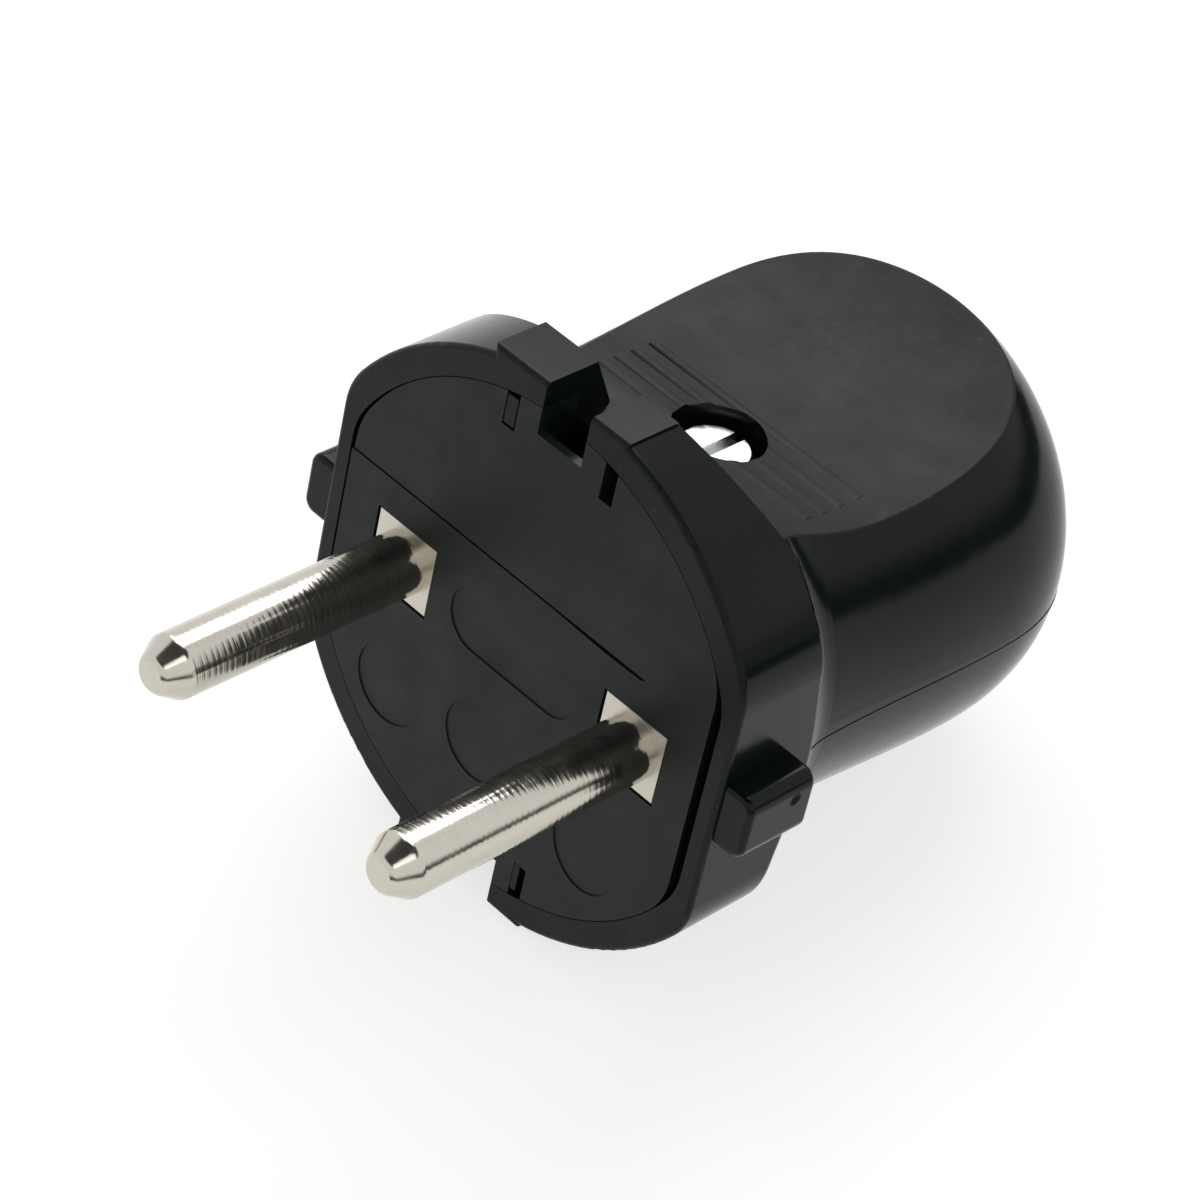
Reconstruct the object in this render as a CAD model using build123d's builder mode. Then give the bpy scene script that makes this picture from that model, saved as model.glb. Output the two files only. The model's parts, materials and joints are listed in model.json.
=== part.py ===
"""Rewirable two-pin plug: a moulded hood that takes a split pin carrier in its mouth.

Drawn on the plug's own axes: X across the pins, Y back along the handle, Z up, with the origin on
the engagement face between the pins. The finished pieces are laid down at the end, nose up, as the
plug comes to rest on a table. All sizes in millimetres.
"""

import os
from math import atan2, degrees, hypot

from build123d import *

# Pins: round contacts turned from square bar
PIN_PITCH = 19.0
PIN_R = 2.0
PIN_LENGTH = 19.0
TIP_R = 1.1
TIP_LENGTH = 1.5
BAR_SHOULDER = 0.4
COLLAR_STEP = 0.8
COLLAR_T = 1.85
WIRE_R = 1.3

# Terminal screws
TERMINAL_SETBACK = 4.7
TERMINAL_HEAD_R = 2.1
TERMINAL_HEAD_H = 1.5
TERMINAL_SHANK_R = 1.2
TERMINAL_REACH = 1.7
BAR_END = 3.4

# Insert: pin carrier below the joint line, cap above it
PLATE_T = 3.0
HEAD_ROOM = 0.9
JOINT_GAP = 0.08
CAP_T = 1.32
FINGER_T = 2.0
FINGER_W = 3.6
SLOT_W = 1.0
SLOT_WEB = 1.65
MARK_W = 0.22
MARK_DEPTH = 0.08
ROUND_MARKS = ((-8.7, -8.8), (-1.2, -7.7))
OVAL_MARK = (8.3, -8.7)

# Cover screw and its nut
COVER_Y = 14.0
COVER_HEAD_R = 2.25
COVER_HEAD_H = 1.3
COVER_HEAD_SINK = 0.9
COVER_SHANK_R = 1.5
RECESS_R = 2.9
SEAT_T = 1.5
NUT_SIZE = 5.4
NUT_H = 2.4
NUT_Z = -0.15

# Cord inlet and cord clamp
CORD_R = 3.9
CLAMP_GAP = 3.3
CLAMP_LENGTH = 4.4
CLAMP_POST = 4.8
CLAMP_BAR_T = 1.6
CLAMP_RIB = 0.7
CLAMP_SCREW_R = 1.1
CLAMP_HEAD_R = 1.9
CLAMP_HEAD_H = 1.3
CLAMP_SCREW_REACH = 8.8

# Handle of the hood: barrel of slight swell, full dome end and two hollowed finger pads
HANDLE_WALL = 1.95
BOTTOM_WALL = 2.2
REAR_WALL = 2.7
SWELL = 0.6
COVE_LENGTH = 4.45
DOME_GAP = 0.5
DOME_LENGTH = 10.85
DOME_FULLNESS = 0.72
CAVITY_TAPER = 4.6
PAD_LOW = 2.5
PAD_RISE = 4.6
PAD_EDGE = 0.3
RIDGE_COUNT = 4
RIDGE_PITCH = 1.5
RIDGE_LENGTH = 17.0
RIDGE_R = 0.55
RIDGE_H = 0.14

# Flange of the hood, with its side flats, guide lugs and earth-clip notches
FLAT_STEP = 1.15
FLAT_DEPTH = 2.1
SIDE_WALL = 1.2
RIM_WALL = 1.9
RIM_EDGE = 0.35
CORNER_R = 5.0
BACK_EDGE = 0.6
BACK_WALL = 0.85
SLOPE_RUN = 2.95
SLOPE_FOOT = 2.3
SLOPE_LAP = 0.15
LUG_H = 4.3
LUG_EDGE = 0.9
LUG_FRONT = 0.35
LUG_SETBACK = 1.0
LUG_END_EDGE = 0.4
GATE_MARK = (4.1, 0.9)
GATE_R = 0.5
GATE_DEPTH = 0.25
BLOCK_X = 4.6
BLOCK_EXTRA = 1.4
BLOCK_CUT = 0.35
TOP_NOTCH_X = 1.75
BOTTOM_NOTCH_X = 2.05
NOTCH_DEPTH = 3.8
NOTCH_LIP = 0.6
NOTCH_POCKET = 2.0

# Clearances
FIT = 0.03
SEAT_CLEAR = 0.05
PIN_CLEAR = 0.15
SOCKET_GAP = 0.22
TERMINAL_CLEAR = 0.28
BODY_CLEAR = 0.2
INSERT_CLEAR = 0.06
LEFT_CLEAR = 0.15
RIGHT_CLEAR = 0.65
PEG_CLEAR = 0.1
LOWER_PEG_CLEAR = 0.5
SCREW_CLEAR = 0.15

# Pins and insert, from front to back
bar = 2 * (PIN_R + BAR_SHOULDER)
pin_x = PIN_PITCH / 2
collar_z = bar / 2 + COLLAR_STEP
collar_front = PLATE_T + SEAT_CLEAR
collar_back = collar_front + COLLAR_T
terminal_y = collar_back + TERMINAL_SETBACK
bar_length = terminal_y + BAR_END
body_end = max(bar_length + SEAT_CLEAR + FINGER_T, COVER_Y + NUT_SIZE / 2) + 1.3
joint_z = bar / 2 + TERMINAL_HEAD_H + HEAD_ROOM
cap_bottom = joint_z + JOINT_GAP
cap_top = cap_bottom + CAP_T

# Hood, from the inside out
cavity_r = hypot(pin_x + bar / 2, collar_z) + TERMINAL_CLEAR
cavity_top = cap_top + BODY_CLEAR
seat_z = cavity_top + SEAT_T
pad_z = seat_z + COVER_HEAD_H + COVER_HEAD_SINK
cavity_bottom = BOTTOM_WALL - pad_z
body_r = cavity_r - BODY_CLEAR
body_bottom = cavity_bottom + BODY_CLEAR
neck_r = cavity_r + HANDLE_WALL
barrel_r = neck_r + SWELL
flat_x = barrel_r + FLAT_STEP
rim_r = flat_x + FLAT_DEPTH
block_z = rim_r - BLOCK_CUT
notch_floor = rim_r - NOTCH_DEPTH
mouth_r = rim_r - RIM_WALL
mouth_x = flat_x - SIDE_WALL
mouth_depth = PLATE_T + SEAT_CLEAR
block_t = mouth_depth + BACK_WALL
slope_y = block_t + SLOPE_RUN
flange_t = slope_y - SLOPE_LAP
neck_y = flange_t + COVE_LENGTH
slot_x = TOP_NOTCH_X + SLOT_WEB + SLOT_W / 2
slot_floor = notch_floor - 1.0

# Cord clamp and the end of the handle
channel_x = CORD_R - 0.3
channel_floor = 0.5 - CORD_R
clamp_x = channel_x + CLAMP_POST / 2
clamp_y = body_end + CLAMP_GAP + CLAMP_LENGTH / 2
clamp_top = cap_top - 0.3 - CLAMP_HEAD_H - CLAMP_BAR_T
clamp_seat = clamp_top + CLAMP_BAR_T
tongue_end = clamp_y + CLAMP_LENGTH / 2
dome_y = tongue_end + DOME_GAP
rear_y = dome_y + DOME_LENGTH
cavity_end = rear_y - REAR_WALL
pad_low = COVER_Y + PAD_LOW

os.makedirs("parts", exist_ok=True)


def upright(x, y, z_low, z_high):
    """Centre of a cylinder or box that stands from z_low to z_high at x, y."""
    return Locations((x, y, (z_low + z_high) / 2))


def pad_height(y):
    """Height of the upper pad at y: two arcs that meet level at its low point."""
    run, rise = (slope_y - pad_low, SLOPE_FOOT) if y < pad_low else (rear_y - pad_low, PAD_RISE)
    radius = (run ** 2 + rise ** 2) / (2 * rise)
    return pad_z + radius - (radius ** 2 - (y - pad_low) ** 2) ** 0.5


def pad_faces(solid):
    """The hollowed faces of the pads: behind the flange, round about an axis across the plug."""
    behind = solid.faces().filter_by(GeomType.CYLINDER).filter_by(lambda face: face.center().Y > slope_y)
    return behind.filter_by(lambda face: abs(face.axis_of_rotation.direction.X) > 0.9)


def rounded_disc(sketch, radius, left, right):
    """A disc with side flats and rounded corners between them, in the plane of the face."""
    Circle(radius)
    with Locations(((right - left) / 2, 0)):
        Rectangle(left + right, 2 * radius, mode=Mode.INTERSECT)
    fillet(sketch.vertices(), CORNER_R)


def insert_outline(sketch, z_low, z_high):
    """Outline of the front insert between two heights."""
    rounded_disc(sketch, mouth_r - INSERT_CLEAR, mouth_x - LEFT_CLEAR, mouth_x - RIGHT_CLEAR)
    with Locations((0, (z_low + z_high) / 2)):
        Rectangle(4 * rim_r, z_high - z_low, mode=Mode.INTERSECT)


# Cavity of the hood, as a solid to take away
with BuildPart() as cavity:
    with BuildSketch(Plane.XY):
        with BuildLine():
            Polyline((0, mouth_depth - 1), (cavity_r, mouth_depth - 1), (cavity_r, cavity_end - CAVITY_TAPER),
                     (cavity_r - CAVITY_TAPER, cavity_end), (0, cavity_end), (0, mouth_depth - 1))
        make_face()
    revolve(axis=Axis.Y)
    with upright(0, 0, cavity_bottom, cavity_top):
        Box(4 * cavity_r, 4 * rear_y, cavity_top - cavity_bottom, mode=Mode.INTERSECT)

with BuildPart() as hood:
    with BuildSketch(Plane.XY):
        with BuildLine():
            Polyline((0, rear_y), (0, mouth_depth), (neck_r, mouth_depth), (neck_r, flange_t), (rim_r, flange_t))
            TangentArc((neck_r, neck_y), (rim_r, flange_t), tangent=(0, -1))
            Spline((neck_r, neck_y), (barrel_r, dome_y), tangents=[(0, 1), (0, 1)])
            Bezier((barrel_r, dome_y), (barrel_r, dome_y + DOME_FULLNESS * DOME_LENGTH),
                   (DOME_FULLNESS * barrel_r, rear_y), (0, rear_y))
        make_face()
    revolve(axis=Axis.Y)
    with BuildSketch(Plane.XZ) as outline:
        rounded_disc(outline, rim_r, flat_x, flat_x)
    extrude(amount=-2 * rear_y, mode=Mode.INTERSECT)
    extrude(outline.sketch, amount=-flange_t)
    back_rim = hood.edges().filter_by(lambda e: flange_t - 0.01 < e.center().Y < neck_y - 1)
    fillet(back_rim.filter_by(lambda e: hypot(e.center().X, e.center().Z) > flat_x - 0.5), BACK_EDGE)
    # Flat blocks above and below, where the earth-clip notches go in
    with BuildSketch(Plane.XZ):
        Rectangle(4 * rim_r, 4 * rim_r)
        Rectangle(4 * rim_r, 2 * block_z, mode=Mode.SUBTRACT)
    extrude(amount=-2 * flange_t, mode=Mode.SUBTRACT)
    with BuildSketch(Plane.XZ):
        with Locations((-BLOCK_EXTRA / 2, 0)):
            Rectangle(2 * BLOCK_X + BLOCK_EXTRA, 2 * block_z)
    extrude(amount=-flange_t)
    fillet(hood.edges().group_by(Axis.Y)[0], RIM_EDGE)
    # Back of the flange slopes down to the hollow of the pads, above and below
    with BuildSketch(Plane.YZ):
        with BuildLine():
            Polyline((rear_y, pad_z + PAD_RISE), (rear_y, 2 * rim_r), (block_t, 2 * rim_r), (block_t, block_z),
                     (slope_y, pad_z + SLOPE_FOOT))
            TangentArc((pad_low, pad_z), (slope_y, pad_z + SLOPE_FOOT), tangent=(-1, 0))
            TangentArc((pad_low, pad_z), (rear_y, pad_z + PAD_RISE), tangent=(1, 0))
        make_face()
        mirror(about=Plane.XZ)
    extrude(amount=2 * rim_r, both=True, mode=Mode.SUBTRACT)
    fillet([e for e in pad_faces(hood).edges() if e.bounding_box().size.Y > 0.5 * PAD_LOW], PAD_EDGE)
    with BuildSketch(Plane.XZ.offset(-LUG_FRONT)):
        RectangleRounded(2 * rim_r, LUG_H, LUG_EDGE)
    extrude(amount=LUG_FRONT + LUG_SETBACK - flange_t)
    lug_ends = hood.edges().filter_by(lambda e: abs(e.center().X) > flat_x + 0.4).filter_by(Axis.Y, reverse=True)
    fillet(lug_ends, LUG_END_EDGE)
    with Locations((rim_r + GATE_R - GATE_DEPTH, *GATE_MARK)):
        Sphere(GATE_R, mode=Mode.SUBTRACT)
    for i in range(RIDGE_COUNT):
        ridge_y = COVER_Y + RIDGE_PITCH * (i + 1 - RIDGE_COUNT / 2)
        with Locations((0, ridge_y, pad_height(ridge_y) + RIDGE_H - RIDGE_R)):
            Cylinder(RIDGE_R, RIDGE_LENGTH, rotation=(0, 90, 0))
    # Mouth, earth-clip notches and cavity
    with BuildSketch(Plane.XZ):
        with Locations((0, notch_floor + NOTCH_DEPTH)):
            Rectangle(2 * TOP_NOTCH_X, 2 * NOTCH_DEPTH)
        with Locations((0, -notch_floor - NOTCH_DEPTH)):
            Rectangle(2 * BOTTOM_NOTCH_X, 2 * NOTCH_DEPTH)
    extrude(amount=-2 * flange_t, mode=Mode.SUBTRACT)
    with BuildSketch(Plane.XZ) as mouth:
        rounded_disc(mouth, mouth_r, mouth_x, mouth_x)
    extrude(amount=-mouth_depth, mode=Mode.SUBTRACT)
    add(cavity.part, mode=Mode.SUBTRACT)
    # Two key pegs that stand in slots of the insert
    peg_w, peg_h = SLOT_W - 2 * PEG_CLEAR, mouth_r - 0.8 - slot_floor - 2 * PEG_CLEAR
    low_w = SLOT_W - LOWER_PEG_CLEAR - SEAT_CLEAR
    with BuildSketch(Plane.XZ):
        with Locations((-slot_x, slot_floor + 2 * PEG_CLEAR + peg_h / 2)):
            Rectangle(peg_w, peg_h)
        with Locations((slot_x - (LOWER_PEG_CLEAR - SEAT_CLEAR) / 2, -slot_floor - SEAT_CLEAR - peg_h / 2)):
            Rectangle(low_w, peg_h)
    extrude(amount=-mouth_depth - SEAT_CLEAR)
    # Screw recess, screw hole and cord inlet
    with upright(0, COVER_Y, seat_z, 2 * pad_z):
        Cylinder(RECESS_R, 2 * pad_z - seat_z, mode=Mode.SUBTRACT)
    with upright(0, COVER_Y, cavity_top - 1, pad_z):
        Cylinder(COVER_SHANK_R + SCREW_CLEAR, pad_z - cavity_top + 1, mode=Mode.SUBTRACT)
    with Locations((0, rear_y, 0)):
        Cylinder(CORD_R, 2 * DOME_LENGTH, rotation=(90, 0, 0), mode=Mode.SUBTRACT)

with BuildPart() as pin_carrier:
    with BuildSketch(Plane.XZ) as plate:
        insert_outline(plate, -rim_r, joint_z)
        with Locations((0, -notch_floor - NOTCH_DEPTH)):
            Rectangle(2 * BOTTOM_NOTCH_X, 2 * NOTCH_DEPTH, mode=Mode.SUBTRACT)
        with Locations((slot_x, -slot_floor - NOTCH_DEPTH)):
            Rectangle(SLOT_W, 2 * NOTCH_DEPTH, mode=Mode.SUBTRACT)
    extrude(amount=-PLATE_T)
    with BuildSketch(Plane.XZ.offset(-PLATE_T)):
        Circle(body_r)
        with Locations((0, (body_bottom + joint_z) / 2)):
            Rectangle(2 * body_r, joint_z - body_bottom, mode=Mode.INTERSECT)
    extrude(amount=PLATE_T - body_end)
    # Tongue and posts of the cord clamp
    with upright(0, (body_end + tongue_end) / 2, body_bottom, channel_floor):
        Box(2 * clamp_x + CLAMP_POST, tongue_end - body_end, channel_floor - body_bottom)
    for side in (-1, 1):
        with upright(side * clamp_x, clamp_y, body_bottom, clamp_top):
            Box(CLAMP_POST, CLAMP_LENGTH, clamp_top - body_bottom)
        with upright(side * clamp_x, clamp_y, clamp_top - CLAMP_SCREW_REACH - 0.8, clamp_top + 1):
            Cylinder(CLAMP_SCREW_R, CLAMP_SCREW_REACH + 1.8, mode=Mode.SUBTRACT)
        # Square hole in the plate, terminal channel and collar pocket of one pin
        hole, shift = bar + SOCKET_GAP + SEAT_CLEAR, (SEAT_CLEAR - SOCKET_GAP) / 2
        with Locations((side * pin_x + shift, PLATE_T / 2, shift)):
            Box(hole, 2 * PLATE_T, hole, mode=Mode.SUBTRACT)
        inner, outer = pin_x - bar / 2 - PIN_CLEAR, cavity_r + 1
        floor = -bar / 2 - SOCKET_GAP
        with upright(side * (inner + outer) / 2, (PLATE_T + body_end) / 2, floor, 2 * joint_z):
            Box(outer - inner, body_end - PLATE_T, 2 * joint_z - floor, mode=Mode.SUBTRACT)
        pocket = collar_back + PIN_CLEAR
        with upright(side * (inner + outer) / 2, (PLATE_T + pocket) / 2, -collar_z - PIN_CLEAR, 0):
            Box(outer - inner, pocket - PLATE_T, collar_z + PIN_CLEAR, mode=Mode.SUBTRACT)
    # Slot of the nut, open to the rear, and hole of the cover screw
    slot_front = COVER_Y - NUT_SIZE / 2 - PIN_CLEAR
    with Locations((0, (slot_front + body_end + 1) / 2, NUT_Z)):
        Box(NUT_SIZE + 0.2, body_end + 1 - slot_front, NUT_H + 0.2, mode=Mode.SUBTRACT)
    with upright(0, COVER_Y, NUT_Z - NUT_H - 2, 2 * joint_z):
        Cylinder(COVER_SHANK_R + SCREW_CLEAR, 2 * joint_z - NUT_Z + NUT_H + 2, mode=Mode.SUBTRACT)
    # Shallow moulded outlines on the face, left without lettering
    with BuildSketch(Plane.XZ):
        SlotOverall(10.6, 4.4)
        SlotOverall(10.6 - 2 * MARK_W, 4.4 - 2 * MARK_W, mode=Mode.SUBTRACT)
        with Locations(*ROUND_MARKS):
            Circle(2.7)
            Circle(2.7 - MARK_W, mode=Mode.SUBTRACT)
        with Locations(OVAL_MARK):
            Ellipse(2.7, 3.1)
            Ellipse(2.7 - MARK_W, 3.1 - MARK_W, mode=Mode.SUBTRACT)
    extrude(amount=-MARK_DEPTH, mode=Mode.SUBTRACT)

with BuildPart() as carrier_cap:
    with BuildSketch(Plane.XZ) as plate:
        insert_outline(plate, cap_bottom, rim_r)
        with Locations((0, notch_floor + NOTCH_DEPTH)):
            Rectangle(2 * TOP_NOTCH_X, 2 * NOTCH_DEPTH, mode=Mode.SUBTRACT)
        with Locations((-slot_x, slot_floor + NOTCH_DEPTH), (slot_x, slot_floor + NOTCH_DEPTH)):
            Rectangle(SLOT_W, 2 * NOTCH_DEPTH, mode=Mode.SUBTRACT)
    extrude(amount=-PLATE_T)
    with BuildSketch(Plane.XZ.offset(-PLATE_T)):
        Circle(body_r)
        with Locations((0, (cap_bottom + cap_top) / 2)):
            Rectangle(2 * body_r, cap_top - cap_bottom, mode=Mode.INTERSECT)
    extrude(amount=PLATE_T - body_end)
    # Pocket behind the front lip of the earth-clip notch
    with upright(0, (NOTCH_LIP + PLATE_T) / 2, notch_floor - NOTCH_POCKET, rim_r):
        Box(2 * TOP_NOTCH_X, PLATE_T - NOTCH_LIP, rim_r - notch_floor + NOTCH_POCKET, mode=Mode.SUBTRACT)
    # Fingers that stop the pins from being pushed back, above the wire holes
    finger_tip = WIRE_R + 0.3
    for side in (-1, 1):
        with upright(side * pin_x, bar_length + SEAT_CLEAR + FINGER_T / 2, finger_tip, cap_bottom + 0.1):
            Box(FINGER_W, FINGER_T, cap_bottom + 0.1 - finger_tip)
    with upright(0, COVER_Y, 0, 2 * cap_top):
        Cylinder(COVER_SHANK_R + SCREW_CLEAR, 2 * cap_top, mode=Mode.SUBTRACT)


def make_pin(x):
    """One contact pin: turned round in front, square bar with collar and wire hole behind."""
    with BuildPart() as pin:
        with BuildSketch(Plane.XY):
            with BuildLine():
                Polyline((0, 1), (PIN_R, 1), (PIN_R, TIP_LENGTH - PIN_LENGTH), (TIP_R, -PIN_LENGTH),
                         (0, -PIN_LENGTH), (0, 1))
            make_face()
        revolve(axis=Axis.Y)
        with Locations((0, bar_length / 2, 0)):
            Box(bar, bar_length, bar)
        with Locations((0, (collar_front + collar_back) / 2, 0)):
            Box(bar, COLLAR_T, 2 * collar_z)
        wire_front = terminal_y - TERMINAL_SHANK_R - 2.4
        with Locations((0, (wire_front + bar_length + 1) / 2, 0)):
            Cylinder(WIRE_R, bar_length + 1 - wire_front, rotation=(90, 0, 0), mode=Mode.SUBTRACT)
        with upright(0, terminal_y, 0, bar):
            Cylinder(TERMINAL_SHANK_R + FIT, bar, mode=Mode.SUBTRACT)
    pin.part.position = (x, 0, 0)
    return pin


def make_screw(x, y, seat, reach, head_r, head_h, shank_r):
    """A slotted cheese-head screw hung from its seat, with a plain shank and a slot along the plug."""
    with BuildPart() as screw:
        with upright(x, y, seat - reach, seat + head_h / 2):
            Cylinder(shank_r, reach + head_h / 2)
        with upright(x, y, seat, seat + head_h):
            Cylinder(head_r, head_h)
        chamfer(screw.edges().group_by(Axis.Z)[-1], 0.12 * head_h)
        with Locations((x, y, seat + head_h)):
            Box(0.35 * head_r, 3 * head_r, head_h, mode=Mode.SUBTRACT)
    return screw


left_pin = make_pin(-pin_x)
right_pin = make_pin(pin_x)
terminal_size = (bar / 2, TERMINAL_REACH, TERMINAL_HEAD_R, TERMINAL_HEAD_H, TERMINAL_SHANK_R)
left_terminal_screw = make_screw(-pin_x, terminal_y, *terminal_size)
right_terminal_screw = make_screw(pin_x, terminal_y, *terminal_size)
cover_reach = seat_z - NUT_Z + NUT_H / 2 + 1.6
cover_screw = make_screw(0, COVER_Y, seat_z, cover_reach, COVER_HEAD_R, COVER_HEAD_H, COVER_SHANK_R)
clamp_size = (clamp_seat, CLAMP_BAR_T + CLAMP_SCREW_REACH, CLAMP_HEAD_R, CLAMP_HEAD_H, CLAMP_SCREW_R - FIT)
left_clamp_screw = make_screw(-clamp_x, clamp_y, *clamp_size)
right_clamp_screw = make_screw(clamp_x, clamp_y, *clamp_size)

with BuildPart() as cover_nut:
    with Locations((0, COVER_Y, NUT_Z + 0.1)):
        Box(NUT_SIZE, NUT_SIZE, NUT_H)
        Cylinder(COVER_SHANK_R + FIT, NUT_H, mode=Mode.SUBTRACT)

with BuildPart() as cord_clamp_bar:
    with upright(0, clamp_y, clamp_top, clamp_seat):
        Box(2 * clamp_x + CLAMP_POST, CLAMP_LENGTH - 0.6, CLAMP_BAR_T)
    with Locations((-clamp_x, clamp_y, clamp_top), (clamp_x, clamp_y, clamp_top)):
        Cylinder(CLAMP_SCREW_R + SCREW_CLEAR, 4 * CLAMP_BAR_T, mode=Mode.SUBTRACT)
    # Rib that bites the cord
    with upright(0, clamp_y, clamp_top - CLAMP_RIB, clamp_top + CLAMP_BAR_T / 2):
        Box(2 * channel_x - 0.6, 1.2, CLAMP_RIB + CLAMP_BAR_T / 2)

# Laid down nose up, on the back edge of the flange and the rear end of the lower pad's hollow
pieces = (hood, pin_carrier, carrier_cap, left_pin, right_pin, left_terminal_screw, right_terminal_screw,
          cover_screw, cover_nut, cord_clamp_bar, left_clamp_screw, right_clamp_screw)
heel = pad_faces(hood).sort_by(Axis.Z)[:2].sort_by(Axis.Y)[-1].bounding_box()
nose_up = Rot(X=-degrees(atan2(block_z + heel.min.Z, heel.max.Y - block_t)))
box = Compound([nose_up * piece.part for piece in pieces]).bounding_box()
rest = Pos(0, -box.center().Y, -box.min.Z) * nose_up
for piece in pieces:
    piece.part.locate(rest * piece.part.location)

export_step(hood.part, "parts/hood.step")
export_step(pin_carrier.part, "parts/pin_carrier.step")
export_step(carrier_cap.part, "parts/carrier_cap.step")
export_step(left_pin.part, "parts/left_pin.step")
export_step(right_pin.part, "parts/right_pin.step")
export_step(left_terminal_screw.part, "parts/left_terminal_screw.step")
export_step(right_terminal_screw.part, "parts/right_terminal_screw.step")
export_step(cover_screw.part, "parts/cover_screw.step")
export_step(cover_nut.part, "parts/cover_nut.step")
export_step(cord_clamp_bar.part, "parts/cord_clamp_bar.step")
export_step(left_clamp_screw.part, "parts/left_clamp_screw.step")
export_step(right_clamp_screw.part, "parts/right_clamp_screw.step")
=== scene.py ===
"""Finish of a rewirable two-pin plug: black mouldings, turned nickel pins and zinc screws on a pale table.

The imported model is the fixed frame. Sizes are in metres unless a name says millimetres.
"""

import json
import math

import bmesh
import bpy
from bpy.props import FloatProperty, FloatVectorProperty, IntProperty, PointerProperty
from bpy.types import Operator, Panel, PropertyGroup
from mathutils import Matrix, Vector


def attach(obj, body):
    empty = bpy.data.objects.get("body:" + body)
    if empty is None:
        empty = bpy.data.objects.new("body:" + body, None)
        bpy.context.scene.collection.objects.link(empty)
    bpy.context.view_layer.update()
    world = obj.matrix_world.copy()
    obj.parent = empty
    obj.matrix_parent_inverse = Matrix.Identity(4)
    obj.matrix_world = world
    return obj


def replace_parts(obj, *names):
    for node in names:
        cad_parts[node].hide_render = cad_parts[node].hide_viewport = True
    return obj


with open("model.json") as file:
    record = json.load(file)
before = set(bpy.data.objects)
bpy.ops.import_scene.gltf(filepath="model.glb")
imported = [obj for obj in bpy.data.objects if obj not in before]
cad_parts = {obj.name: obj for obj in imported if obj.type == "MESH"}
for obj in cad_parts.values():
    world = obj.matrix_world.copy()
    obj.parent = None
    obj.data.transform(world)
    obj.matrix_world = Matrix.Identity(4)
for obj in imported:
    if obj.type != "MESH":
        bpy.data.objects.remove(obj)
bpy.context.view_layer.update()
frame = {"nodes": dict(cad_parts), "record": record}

bl_info = {
    "name": "Two-pin plug finish",
    "version": (1, 0, 0),
    "blender": (4, 5, 0),
    "location": "3D View > Sidebar > Plug",
    "description": "Gives a two-pin plug its moulded and plated finishes and sets it on a pale table",
    "category": "Object",
}

MM = 0.001
BODY = "root"
SIDES = {"left": -1, "right": 1}

NEAR = 0.005 * MM  # slack for tests of a place on the plug's axes
WELD = 0.0001 * MM  # vertices within this distance are one
SHARP = math.radians(20)  # edges that bend by more stay crisp

# The plug's own axes: X across the pins, Y back along the handle, Z up, origin on the face
MOUNTS = {mount["name"]: mount for mount in frame["record"]["mounts"]}
PIN_MIDDLES = [Vector(MOUNTS[f"{side}_pin"]["pos_m"]) for side in SIDES]
PIN_AXIS = Vector(MOUNTS["left_pin"]["axis"]).normalized()
PIN_WALL = MOUNTS["left_pin"]["dims"]["length_mm"] * MM
PIN_R = MOUNTS["left_pin"]["dims"]["r_mm"] * MM
PIN_X = (PIN_MIDDLES[1] - PIN_MIDDLES[0]).length / 2
ACROSS = (PIN_MIDDLES[1] - PIN_MIDDLES[0]).normalized()
PLUG = Matrix((ACROSS, -PIN_AXIS, ACROSS.cross(-PIN_AXIS))).transposed().to_4x4()
PLUG.translation = (PIN_MIDDLES[0] + PIN_MIDDLES[1]) / 2 - PIN_AXIS * PIN_WALL / 2
TO_PLUG = PLUG.inverted()


def plug_points(node):
    """Vertices of a CAD node on the plug's own axes."""
    return [TO_PLUG @ vertex.co for vertex in frame["nodes"][node].data.vertices]


# Places read from the solids: only the handle reaches into the rear half, and only the flange is more than
# 1 mm wider than the handle
REAR_Y = max(point.y for point in plug_points("hood"))
PIN_TIP = -min(point.y for point in plug_points("left_pin"))
TIP_R = max(point.z for point in plug_points("left_pin") if point.y < NEAR - PIN_TIP)
BARREL_R = max(point.x for point in plug_points("hood") if point.y > 0.5 * REAR_Y)
FLANGE_T = max(point.y for point in plug_points("hood") if point.x > BARREL_R + 1.0 * MM)
SCREW_Y = sum(point.y for point in plug_points("cover_screw")) / len(plug_points("cover_screw"))

# Ridges of the upper pad, worn down to the right
RIDGE_END = 8.5 * MM  # X of their ends on both sides
RIDGE_REACH = 4.0 * MM  # Y from the screw within which they lie
RIDGE_TOP = 0.2 * MM  # height that none of them reaches
PAD_STRIP = 0.66  # share of the barrel's radius at which the pad is bare beside them

# Joint line between the pin carrier and its cap
JOINT_CUTS = 32  # cuts that let its edge follow a curve
JOINT_FROM = -2.0 * MM  # X of the first cut
JOINT_WIDE = 6.5 * MM  # X where it is widest
JOINT_RUN = 3.0 * MM  # length over which it narrows from there
JOINT_THIN = 0.3  # share of the wear that is left far from there
JOINT_SHUT = 9.5 * MM  # X of the last cut, from which it is shut
JOINT_FILL = 0.9  # share of its gap that is filled where it is shut

# Seam between the cap and the hood, worn at the upper left
SEAM_FROM = -9.0 * MM  # X left of which it is worn
SEAM_WIDE = 6.6 * MM  # Z where it is widest
SEAM_RUN = 3.2 * MM  # length over which it narrows from there

# Pins
NOSE_SLOPE = 1.6  # gain of radius over length behind the end of a pin
RING_SEEDS = {"left": -29.0, "right": 51.0}  # where in the noise the turning rings start

# Parting line along the handle
FLASH_INSET = 0.3 * MM  # how far it stops short of the flange and of the rear end
FLASH_DROP = 1.0 * MM  # how far below the middle it starts at the flange
FLASH_STEPS = 160  # steps along it
FLASH_SIDES = 8  # steps around it

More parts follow.
